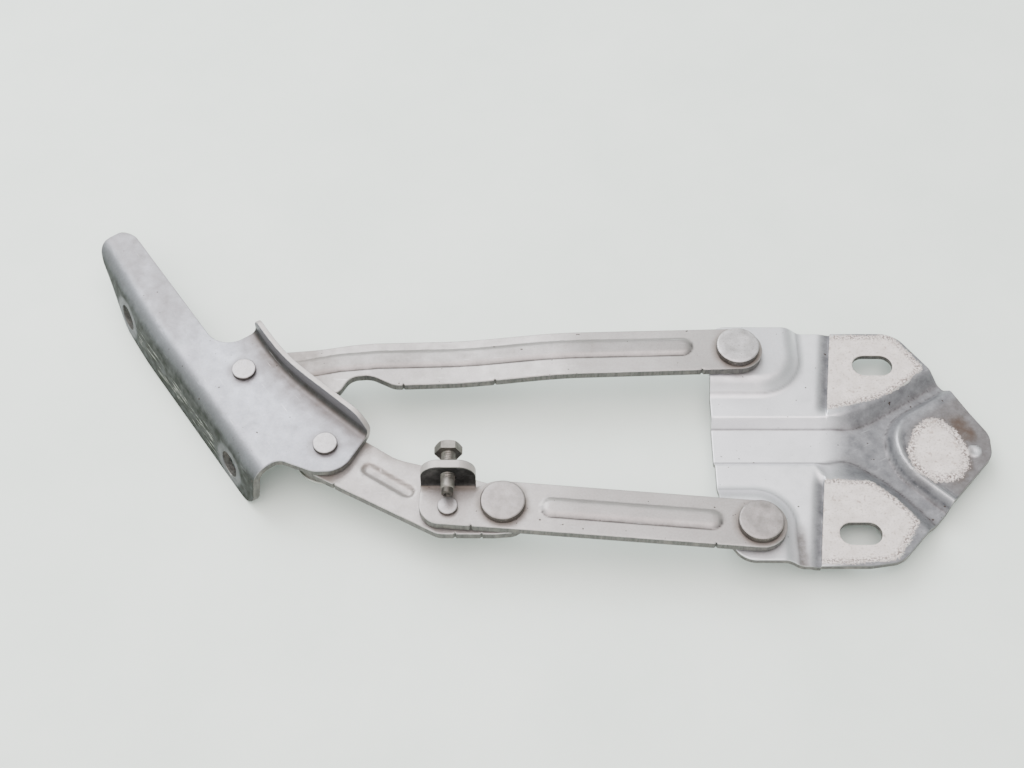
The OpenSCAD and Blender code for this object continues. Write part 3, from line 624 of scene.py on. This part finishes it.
def longPlace(x, y, depth):
    start, stop, fall = longLink["joggle"]
    rise = longLink["beadRise"] * crown(beadGap(x, y), longLink["beadHalf"]) * ease(-x, 204, 172)
    return x, y, longLink["top"] - fall * ease(-x, start, stop) + rise - depth


def longMarks(x, y):
    gap, half = beadGap(x, y), longLink["beadHalf"]
    back = 0.25 * ease(gap, half, half - beads["flank"])
    shade = max(beadShade(gap, half, y < longLink["beadSplit"]), back) * ease(-x, 200, 188)
    nearWeb = 0.6 * ease(-x, 166, 186)
    return painted, max(nearWeb, 0.8 * ringDirt(x, y, (0, 0), 9, 12.5)), shade, 0, 0


beadLines = []
for begin, end in zip(longLink["bead"], longLink["bead"][1:]):
    beadLines += besideLine(begin, end, longLink["beadHalf"])
sheet = cutSheet(longLink["corners"], holes=[(0, 0, longLink["hole"]), (-longReach, 0, longLink["hole"])],
                 columns=spread((-221, 10.5, longLink["cell"])), rows=spread((-10.5, 15, longLink["cell"])),
                 lines=beadLines)
pressSheet(sheet, longLink["thick"], longPlace, longMarks)
finishPiece("joggled-long-link", sheet, placed(pivotA, longTurn), "long_link", ["long_link"],
            [linkPaint, edgeSteel])


# rear link: bar with a bead and a tab bent up for the adjuster bolt
rearLink = {
    "thick": 4, "top": 9.8, "cell": 0.9,
    "corners": [(10.8, 10.8, 10.7), (-107.8, 10.8, 9)],
    "cornersAfter": [(-137.6, -11.6, 9), *nick(-115.7, -11.35, 0.012), (-103.8, -11.2, 0),
                     *nick(-17.5, -10.9, 0.003), (10.8, -10.8, 10.7)],
    "bead": ((-20, 0), (-83.8, 0), 4.7, 1.1),
    "tabWide": 22.5, "tabFront": -66.43, "tabRise": 13, "tabShoulder": 7.5, "bend": 1.5,
    "boltHeight": 16.4, "boltHole": 3.05, "hole": 6.1, "kneeHole": 4.6, "shearHole": 2.6,
}
rearTurn = turnOf(pivotE, pivotB)
reachE = pivotE - pivotB
reachS = shearS - pivotB
halfTab = rearLink["tabWide"] / 2
tabMiddle = reachS.x
tabStart = rearLink["tabFront"] - rearLink["bend"] - pivotB.y
bendArc = rearLink["bend"] * math.pi / 2
tabEnd = tabStart + bendArc + rearLink["tabRise"] - rearLink["bend"]
boltRow = tabStart + bendArc + rearLink["boltHeight"] - rearLink["top"] - rearLink["bend"]


def rearPlace(x, y, depth):
    begin, end, half, rise = rearLink["bead"]
    lx, ly = turned(x, y, -rearTurn)
    top = rearLink["top"] + rise * crown(fromSegment(lx, ly, begin, end), half)
    past = y - tabStart
    if past <= 0 or abs(x - tabMiddle) > halfTab + 0.02:
        return x, y, top - depth
    radius = rearLink["bend"]
    angle = min(past / radius, math.pi / 2)
    straight = max(past - bendArc, 0)
    return (x, tabStart + (radius + depth) * math.sin(angle),
            top + radius - (radius + depth) * math.cos(angle) + straight)


def rearMarks(x, y):
    begin, end, half = rearLink["bead"][:3]
    lx, ly = turned(x, y, -rearTurn)
    shade = beadShade(fromSegment(lx, ly, begin, end), half, ly < 0)
    darkening = 0
    for centre in ((0, 0), (-reachE.length, 0)):
        darkening = max(darkening, 0.75 * ringDirt(lx, ly, centre, 9, 12.5))
    up = y - tabStart
    aside = abs(x - tabMiddle)
    foot = 0.8 * ease(up, -3, -0.5) * ease(up, 1.2, 0.4) * ease(aside, 14, 11)
    # painted shade on the tab's face, and a painted highlight on the tab's edges through the rim value
    tab = ease(up, -0.5, 0.9) if aside < halfTab + 0.1 else 0
    return painted, max(darkening, foot), max(shade, tab), 0, 0.95 if tab == 1 else 0


shoulder = rearLink["tabShoulder"]
rearCorners = [(*turned(x, y, rearTurn), r) for x, y, r in rearLink["corners"]]
rearCorners += [(tabMiddle + halfTab, tabStart + 0.4, 0), (tabMiddle + halfTab, tabEnd, shoulder),
                (tabMiddle - halfTab, tabEnd, shoulder), (tabMiddle - halfTab, tabStart, 0)]
rearCorners += [(*turned(x, y, rearTurn), r) for x, y, r in rearLink["cornersAfter"]]
beadBegin, beadEnd = [turned(*point, rearTurn) for point in rearLink["bead"][:2]]
sheet = cutSheet(rearCorners,
                 holes=[(0, 0, rearLink["hole"]), (reachE.x, reachE.y, rearLink["kneeHole"]),
                        (reachS.x, reachS.y, rearLink["shearHole"]),
                        (tabMiddle, boltRow, rearLink["boltHole"])],
                 columns=spread((-138, 10.5, rearLink["cell"])),
                 rows=spread((-10.5, tabStart, rearLink["cell"]), (tabStart, tabStart + bendArc, 0.3),
                             (tabStart + bendArc, tabEnd, 1.2)),
                 lines=besideLine(beadBegin, beadEnd, rearLink["bead"][2]))
pressSheet(sheet, rearLink["thick"], rearPlace, rearMarks)
finishPiece("rear-link-with-adjuster-tab", sheet, placed(pivotB), "upper_link", ["rear_link"],
            [linkPaint, edgeSteel])


# front link: cranked bar with a pressed groove, under the rear link
frontLink = {
    "thick": 4, "top": 5.0, "cell": 0.9,
    "corners": [(10.8, 10.8, 10.7), (-36, 8, 20), (-50, 6.6, 20), (-72.8, 11.8, 10), (-90.6, 11.8, 11.7),
                (-90.6, -11.2, 11.1), *nick(-69.2, -13.9, -0.126), (-20.5, -20, 8), *nick(-14, -17.5, 0.381),
                *nick(-4, -13.7, 0.381), (1, -11.8, 8), (10.8, -7, 7)],
    "groove": ((-58.8, -1.9), (-39.4, -6), 2.9, 1.2), "holeD": 8.7, "holeE": 6.1, "shearHole": 2.6,
}
frontTurn = turnOf(pivotD, pivotE)
frontReach = (pivotE - pivotD).length
grooveTurn = math.degrees(turnOf(Vector(frontLink["groove"][0]), Vector(frontLink["groove"][1])))


def frontPlace(x, y, depth):
    begin, end, half, fall = frontLink["groove"]
    return x, y, frontLink["top"] - fall * ease(fromSegment(x, y, begin, end), half, half - 1.2) - depth


def frontMarks(x, y):
    begin, end, half = frontLink["groove"][:3]
    gap = fromSegment(x, y, begin, end)
    # the groove's outline is darkened all round and its inside a little; its upper wall and left end get
    # painted shade, given through the grime attribute in the dust colour
    shadedWall = max(ease(leftOf(x, y, begin, grooveTurn), -1.5, 1.5), ease(-x, -begin[0] - 1, -begin[0] + 1.5))
    darkening = (0.3 + 0.6 * shadedWall) * (1 - min(abs(gap - half + 0.5) / 0.9, 1)) + 0.15 * ease(gap, half, 0)
    return painted, max(darkening, 0.6 * ease(y, 2, 8) * ease(-x, 30, 42), 0.7 * ease(-x, 66, 72)), 0, 0, 0


shearAt = turned(*(shearS - pivotE), -frontTurn)
sheet = cutSheet(frontLink["corners"],
                 holes=[(0, 0, frontLink["holeE"]), (-frontReach, 0, frontLink["holeD"]),
                        (shearAt[0], shearAt[1], frontLink["shearHole"])],
                 columns=spread((-90, 10.5, frontLink["cell"])),
                 rows=spread((-19.5, 11.5, frontLink["cell"])))
pressSheet(sheet, frontLink["thick"], frontPlace, frontMarks)
finishPiece("front-link", sheet, placed(pivotE, frontTurn), "upper_link", ["front_link"],
            [linkPaint, edgeSteel])


# bonnet bracket: web with an arm, a flange bent down and a lip bent up
bonnetBracket = {
    "thick": 3.5, "top": 9.3, "slope": 125,
    "flangeFace": 23.8, "flangeDepth": 26.4, "flangeBend": 8.5, "flangeLean": 8.5, "toe": 3.2,
    "lipBend": 3.0, "lipRise": 9.5, "lipThin": 0.35, "lipSweep": 5,
    "lipLine": ((14.5, -11.7), (-8, -10.7), (-56.53, -22.54)),
    "armEnd": 99, "armInner": 2.9, "lipEnd": 15.4, "foot": -46.53, "footInner": 10.86,
    "heel": ((-66.33, -7.54, 11), (-59.73, 2.26, 8)),          # corners at the outer end of the web
    "taper": ((70, 26.4, 12), (86, 11.5, 10), (99, 2.2, 8)),   # along the arm, depth of the flange, radius
    "flangeHoles": (-26.53, 67), "holeDepth": 17, "holeRadius": 6, "pivotHole": 3.6,
}
bb = bonnetBracket
flangeStart = bb["flangeFace"] - bb["flangeBend"]
flangeTurn = math.pi / 2 - math.radians(bb["flangeLean"])
flangeArc = bb["flangeBend"] * flangeTurn
lipArc = bb["lipBend"] * math.pi / 2
lipFlat = lipArc + bb["lipRise"] - bb["lipBend"]    # how far the flat blank goes past the bend line
reachD = turned(*(pivotD - pivotC), -math.radians(bb["slope"]))


def unrolled(depth):  # place on the flat blank of a depth below the web
    bent = bb["flangeBend"] * (1 - math.cos(flangeTurn))
    if depth >= bent:
        return flangeStart + flangeArc + (depth - bent) / math.sin(flangeTurn)
    return flangeStart + bb["flangeBend"] * math.acos(1 - depth / bb["flangeBend"])


flangeEdge = unrolled(bb["flangeDepth"])
holeRow = unrolled(bb["holeDepth"])


def lipGap(x, y):  # distance past the line where the lip starts to bend
    gaps = []
    for (ax, ay), (bx, by) in zip(bb["lipLine"], bb["lipLine"][1:]):
        span = math.hypot(bx - ax, by - ay)
        gaps.append(((x - ax) * (by - ay) - (y - ay) * (bx - ax)) / span)
    return smoothMin(-gaps[0], -gaps[1], bb["lipSweep"])


def bonnetPlace(x, y, depth):
    top = bb["top"]
    past = y - flangeStart
    toe = bb["toe"] * ease(x, 40, 104) * ease(y, bb["armInner"], flangeStart)
    if past > 0:
        radius = bb["flangeBend"]
        angle = min(past / radius, flangeTurn)
        straight = max(past - flangeArc, 0)
        return (x, flangeStart - toe + (radius - depth) * math.sin(angle) + straight * math.cos(angle),
                top - radius + (radius - depth) * math.cos(angle) - straight * math.sin(angle))
    past = lipGap(x, y)
    if past > 0:
        step = 0.01
        out = Vector((lipGap(x + step, y) - past, lipGap(x, y + step) - past)).normalized()
        radius = bb["lipBend"]
        depth = depth * (1 - bb["lipThin"] * ease(past, 0, 4))
        angle = min(past / radius, math.pi / 2)
        straight = max(past - lipArc, 0)
        foot = Vector((x, y)) - out * past + out * ((radius + depth) * math.sin(angle))
        return foot.x, foot.y, top + radius - (radius + depth) * math.cos(angle) + straight
    return x, y - toe, top - depth


def bonnetMarks(x, y):
    past = lipGap(x, y)
    darkening = 0.5 * ease(past, -13, -1) + 0.4 * ease(past, -4, 0.5)
    darkening = darkening * (1 - 0.8 * ease(past, 0.5, 3))
    darkening = max(darkening, 0.45 * ease(x, 12, 50) * ease(y, flangeStart + 4, flangeStart))
    for centre in ((0, 0), reachD):
        darkening = max(darkening, 0.55 * ringDirt(x, y, centre, 5, 9))
    leftHole, rightHole = bb["flangeHoles"]
    ring = max(ease(abs(math.hypot(x - hx, y - holeRow) - 7.5), 3.5, 1) for hx in (leftHole, rightHole))
    between = ease(abs(y - holeRow), 8, 3) * ease(x, leftHole, -10) * ease(x, rightHole, 50)
    tip = ease(x, bb["foot"] + 8, bb["foot"]) * ease(y, holeRow, holeRow + 6)
    lip = 0.95 * ease(past, -0.6, 2) * (1 - 0.65 * ease(past, 3, 6.5))     # painted shade on the lip: dark in the bend, greyer above it
    # painted shade on the flange, less round its holes; the rim value lights the lip's edges as a painted
    # highlight
    shade = max(ease(y, flangeStart + 1, flangeStart + flangeArc) * (1 - 0.25 * ring), lip)
    return painted, darkening, shade, max(0.25 * ring, 0.7 * between, 1.1 * tip), 0.95 * ease(past, 0.5, 2.5)


lipLine = bb["lipLine"]
lowDirection = Vector((lipLine[2][0] - lipLine[1][0], lipLine[2][1] - lipLine[1][1])).normalized()
lowOut = Vector((-lowDirection.y, lowDirection.x)) * lipFlat
webCorners = [(bb["armEnd"], bb["armInner"], 8), (bb["lipEnd"], bb["armInner"], 11),
              (bb["lipEnd"], lipLine[0][1] - lipFlat, 5), (lipLine[1][0], lipLine[1][1] - lipFlat, 40),
              (lipLine[2][0] + lowOut.x, lipLine[2][1] + lowOut.y, 10), *bb["heel"],
              (bb["foot"], bb["footInner"], 5), (bb["foot"], flangeEdge, 10)]
webCorners += [(x, unrolled(d), r) for x, d, r in bb["taper"]]
pivotHoles = [(0, 0, bb["pivotHole"]), (reachD[0], reachD[1], bb["pivotHole"])]
flangeHoles = [(x, holeRow, bb["holeRadius"]) for x in bb["flangeHoles"]]
bendEnd = flangeStart + flangeArc
sheet = cutSheet(webCorners, holes=pivotHoles + flangeHoles, columns=spread((-66, 98.5, 1.0)),
                 rows=spread((-34, -9, 0.5), (-9, -3, 1.0), (-3, flangeStart, 1.0),
                             (flangeStart, bendEnd, 0.8), (bendEnd, flangeEdge, 1.2)))
pressSheet(sheet, bb["thick"], bonnetPlace, bonnetMarks)
finishPiece("bonnet-bracket", sheet, placed(pivotC, math.radians(bb["slope"])), "bonnet_bracket",
            ["bonnet_bracket"], [bonnetPaint, edgeSteel])


# rivets: turned profiles with rolled rims
turning = {"arcStep": 0.3, "merge": 0.002}


def spinProfile(profile, steps=56):  # profile is (radius, height, corner radius), from the top down
    bm = bmesh.new()
    verts = [bm.verts.new((r, 0, z)) for r, z, c in profile]
    for a, b in zip(verts, verts[1:]):
        bm.edges.new((a, b))
    for vert, (r, z, c) in zip(verts, profile):
        if c:
            roundOff(bm, vert, c, turning["arcStep"])
    bmesh.ops.spin(bm, geom=bm.verts[:] + bm.edges[:], cent=(0, 0, 0), axis=(0, 0, 1),
                   angle=2 * math.pi, steps=steps, use_merge=True)
    bmesh.ops.remove_doubles(bm, verts=bm.verts[:], dist=turning["merge"])
    bmesh.ops.recalc_face_normals(bm, faces=bm.faces[:])
    return bm


def shadeFlanks(bm):  # the upright faces of a head get painted shade
    bm.normal_update()
    for face in bm.faces:
        if abs(face.normal.z) < 0.45:
            face.material_index = 1


rivetKinds = {  # head and tail are radius, height, and the radii of the edges from the top down
    "pivot": {"head": (9.2, 3.5, 0.9, 0.35), "shank": 4.5, "tail": (6.5, 2.5, 0.4, 1.3)},
    "bonnet": {"head": (5.1, 2.0, 0.5, 0.2), "shank": 3.5, "tail": (8.85, 3.0, 0.4, 1.0)},
    "shear": {"head": (4.15, 2.0, 0.6, 0.2), "shank": 2.5, "tail": (4.15, 2.0, 0.2, 0.6)},
}
rivets = (
    ("long_link_rivet", "long-link-pivot-rivet", "pivot", "body", lighterHead),
    ("rear_link_rivet", "rear-link-pivot-rivet", "pivot", "body", darkerHead),
    ("knee_rivet", "knee-rivet", "pivot", "upper_link", darkerHead),
    ("upper_bonnet_rivet", "upper-bonnet-rivet", "bonnet", "bonnet_bracket", headSteel),
    ("lower_bonnet_rivet", "lower-bonnet-rivet", "bonnet", "bonnet_bracket", headSteel),
    ("shear_rivet", "shear-rivet", "shear", "upper_link", headSteel),
)
for node, name, kind, body, steel in rivets:
    low, high = [corner.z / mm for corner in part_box(node)]
    wide, tall, rim, lowerRim = rivetKinds[kind]["head"]
    tailWide, tailTall, tailUpper, tailLower = rivetKinds[kind]["tail"]
    shank = rivetKinds[kind]["shank"]
    top = [(0, high, 0), (wide, high, rim)]
    if kind == "pivot":  # a big head sinks a little in the middle and at the rim
        top = [(0, high - 0.05, 0), (wide - 3, high, 2), (wide, high - 0.1, rim)]
    bm = spinProfile(top + [(wide, high - tall, lowerRim), (shank, high - tall, 0),
                            (shank, low + tailTall, 0), (tailWide, low + tailTall, tailUpper),
                            (tailWide, low, tailLower), (0, low, 0)])
    shadeFlanks(bm)
    finishPiece(name, bm, placed(axisOf(node)), body, [node], [steel, shadedFlankSteel])


# adjuster bolt: hexagon head, thread, plain neck and cupped dog point, made upright and laid along Y
adjusterBolt = {
    "flats": 10, "headTall": 4, "chamfer": 4.6, "length": 19.2, "pitch": 1.0, "major": 2.98, "minor": 2.42,
    "neck": 2.85, "neckEnd": 6.8, "point": 2.4, "pointEnd": 2.5, "cup": 1.3, "cupDeep": 0.9,
    "turnSteps": 20, "headSteps": 48, "merge": 0.004, "sharp": 20,
}
ab = adjusterBolt
threadRun = ab["length"] - ab["neckEnd"]
turns = math.ceil(threadRun / ab["pitch"]) + 2
bm = bmesh.new()
crest = ((ab["minor"], 0), (ab["major"], 0.42 * ab["pitch"]), (ab["major"], 0.58 * ab["pitch"]),
         (ab["minor"], ab["pitch"]))
verts = [bm.verts.new((r, 0, ab["neckEnd"] - ab["pitch"] + z)) for r, z in crest]
for a, b in zip(verts, verts[1:]):
    bm.edges.new((a, b))
bmesh.ops.spin(bm, geom=bm.verts[:] + bm.edges[:], cent=(0, 0, 0), axis=(0, 0, 1), angle=2 * math.pi * turns,
               dvec=(0, 0, ab["pitch"] / ab["turnSteps"]), steps=turns * ab["turnSteps"], use_merge=False)
bmesh.ops.remove_doubles(bm, verts=bm.verts[:], dist=ab["merge"])
for height, normal in ((ab["neckEnd"], (0, 0, -1)), (ab["length"] + 0.3, (0, 0, 1))):
    bmesh.ops.bisect_plane(bm, geom=bm.verts[:] + bm.edges[:] + bm.faces[:], dist=0.001,
                           plane_co=(0, 0, height), plane_no=normal, clear_outer=True)
bmesh.ops.holes_fill(bm, edges=[e for e in bm.edges if e.is_boundary], sides=0)
bmesh.ops.recalc_face_normals(bm, faces=bm.faces[:])
thread = bpy.data.meshes.new("thread")
bm.to_mesh(thread)
bm.free()

bm = spinProfile([(0, ab["neckEnd"] + 0.5, 0), (ab["minor"], ab["neckEnd"] + 0.5, 0),
                  (ab["neck"], ab["neckEnd"], 0), (ab["neck"], ab["pointEnd"] + 0.4, 0.3),
                  (ab["point"], ab["pointEnd"], 0.2), (ab["point"], 0, 0.5), (ab["cup"], 0, 0.1),
                  (ab["cup"] * 0.8, ab["cupDeep"], 0.2), (0, ab["cupDeep"] * 1.2, 0)], 32)
bm.from_mesh(thread)
bpy.data.meshes.remove(thread)

ring = bmesh.ops.create_circle(bm, cap_ends=True, radius=ab["flats"] / 2, segments=ab["headSteps"],
                               matrix=Matrix.Translation((0, 0, ab["length"])))["verts"]
levels = [ring]
for _ in range(2):
    last = levels[-1]
    edges = dict.fromkeys(e for v in last for e in v.link_edges if all(w in last for w in e.verts))
    made = bmesh.ops.extrude_edge_only(bm, edges=list(edges))["geom"]
    levels.append([g for g in made if isinstance(g, bmesh.types.BMVert)])
topHead = ab["length"] + ab["headTall"]
for index, verts in enumerate(levels):
    for vert in verts:
        angle = math.atan2(vert.co.y, vert.co.x)
        sixth = angle % (math.pi / 3) - math.pi / 6
        hexRadius = ab["flats"] / 2 / math.cos(sixth)
        radius, height = hexRadius, ab["length"]
        if index == 1:
            height = topHead - (hexRadius - ab["chamfer"]) * math.tan(math.pi / 6)
        elif index == 2:
            radius, height = ab["chamfer"], topHead
        vert.co = radius * math.cos(angle), radius * math.sin(angle), height
bmesh.ops.holes_fill(bm, edges=[e for e in bm.edges if e.is_boundary], sides=0)
bmesh.ops.recalc_face_normals(bm, faces=bm.faces[:])
for edge in bm.edges:
    onHead = all(v.co.z > ab["length"] - 0.01 for v in edge.verts)
    if onHead and edge.calc_face_angle(0) > math.radians(ab["sharp"]):
        edge.smooth = False
for face in bm.faces:
    if face.calc_center_median().z < ab["pointEnd"]:
        face.material_index = 1
boltLow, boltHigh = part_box("adjuster_bolt")
boltPlace = Matrix.Translation((shearS.x, boltLow.y / mm, (boltLow.z + boltHigh.z) / 2 / mm))
finishPiece("adjuster-bolt", bm, boltPlace @ Matrix.Rotation(-math.pi / 2, 4, "X"), "adjuster",
            ["adjuster_bolt"], [boltSteel, darkerPointSteel])


# bushes and washers keep their CAD shape and get their metal
for node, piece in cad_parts.items():
    if node.endswith(("_bush", "_washer")):
        piece.data.materials.clear()
        piece.data.materials.append(bushBronze if node.endswith("_bush") else zincWasher)
print("bushes and washers finished")


# floor, light and camera
studio = {
    "floorTurn": 1.06, "floorAt": (-0.300, 0, -0.0177), "floorSize": 3.0,
    "camera": (-0.1562, -0.4263, 0.6014), "cameraTilt": 34.7, "lens": 59.77,
    "worldLeft": 1.3, "worldRight": 0.6,
}
bm = bmesh.new()
bmesh.ops.create_grid(bm, x_segments=4, y_segments=4, size=studio["floorSize"])
lie = Matrix.Translation(studio["floorAt"]) @ Matrix.Rotation(-math.radians(studio["floorTurn"]), 4, "Y")
bmesh.ops.transform(bm, matrix=lie, verts=bm.verts[:])
floorMesh = bpy.data.meshes.new("table-top")
bm.to_mesh(floorMesh)
bm.free()
table = bpy.data.objects.new("table-top", floorMesh)
bpy.context.scene.collection.objects.link(table)
# painted table top: matt, nearly white with a green cast, faint clouds
floorPaint, add = newMaterial("matt painted table top")
spot = add("TexCoord", out=3)
cloud = add("TexNoise", {"Vector": spot, "Scale": 1 / (60 * mm), "Detail": 4.0, "Roughness": 0.6})
tone = add("Mix", {0: add("MapRange", (cloud, 0.3, 0.7)), 6: colour("#dfe9e3"), 7: colour("#e8f0eb")}, 2,
           data_type="RGBA")
add("OutputMaterial", {"Surface": add("BsdfPrincipled", {"Base Color": tone, "Roughness": 0.55})})
floorMesh.materials.append(floorPaint)


def softLight(name, at, target, size, watts, tint):
    lamp = bpy.data.lights.new(name, "AREA")
    lamp.shape, lamp.size, lamp.size_y = "RECTANGLE", size[0], size[1]
    lamp.energy, lamp.color = watts, colour(tint)[:3]
    holder = bpy.data.objects.new(name, lamp)
    holder.location = at
    holder.rotation_euler = (Vector(target) - Vector(at)).to_track_quat("-Z", "Y").to_euler()
    bpy.context.scene.collection.objects.link(holder)


softLight("window behind", (-0.75, 0.85, 1.15), (-0.15, 0, 0), (1.3, 1.0), 28, "#fbfdff")
softLight("ceiling", (-0.3, -0.3, 1.7), (-0.15, 0, 0), (2.0, 2.0), 50, "#fff1f0")
softLight("front wall", (-0.4, -1.5, 0.55), (-0.1, 0, 0), (2.0, 0.9), 9, "#fff1f0")
world = bpy.data.worlds.new("studio")  # the room is brighter on the left
bpy.context.scene.world = world
world.use_nodes = True
world.node_tree.nodes.clear()
add = functools.partial(addNode, world.node_tree)
side = add("SeparateXYZ", (add("TexCoord", out=0),))
glow = add("MapRange", (side, -1, 1, studio["worldLeft"], studio["worldRight"]))
add("OutputWorld", {"Surface": add("Background", {"Color": colour("#e4f2ea"), "Strength": glow})})

camera = bpy.data.cameras.new("camera")
camera.lens, camera.sensor_width = studio["lens"], 36
holder = bpy.data.objects.new("camera", camera)
holder.location = studio["camera"]
holder.rotation_euler = (math.radians(studio["cameraTilt"]), 0, 0)
bpy.context.scene.collection.objects.link(holder)
bpy.context.scene.camera = holder
print("studio ready")
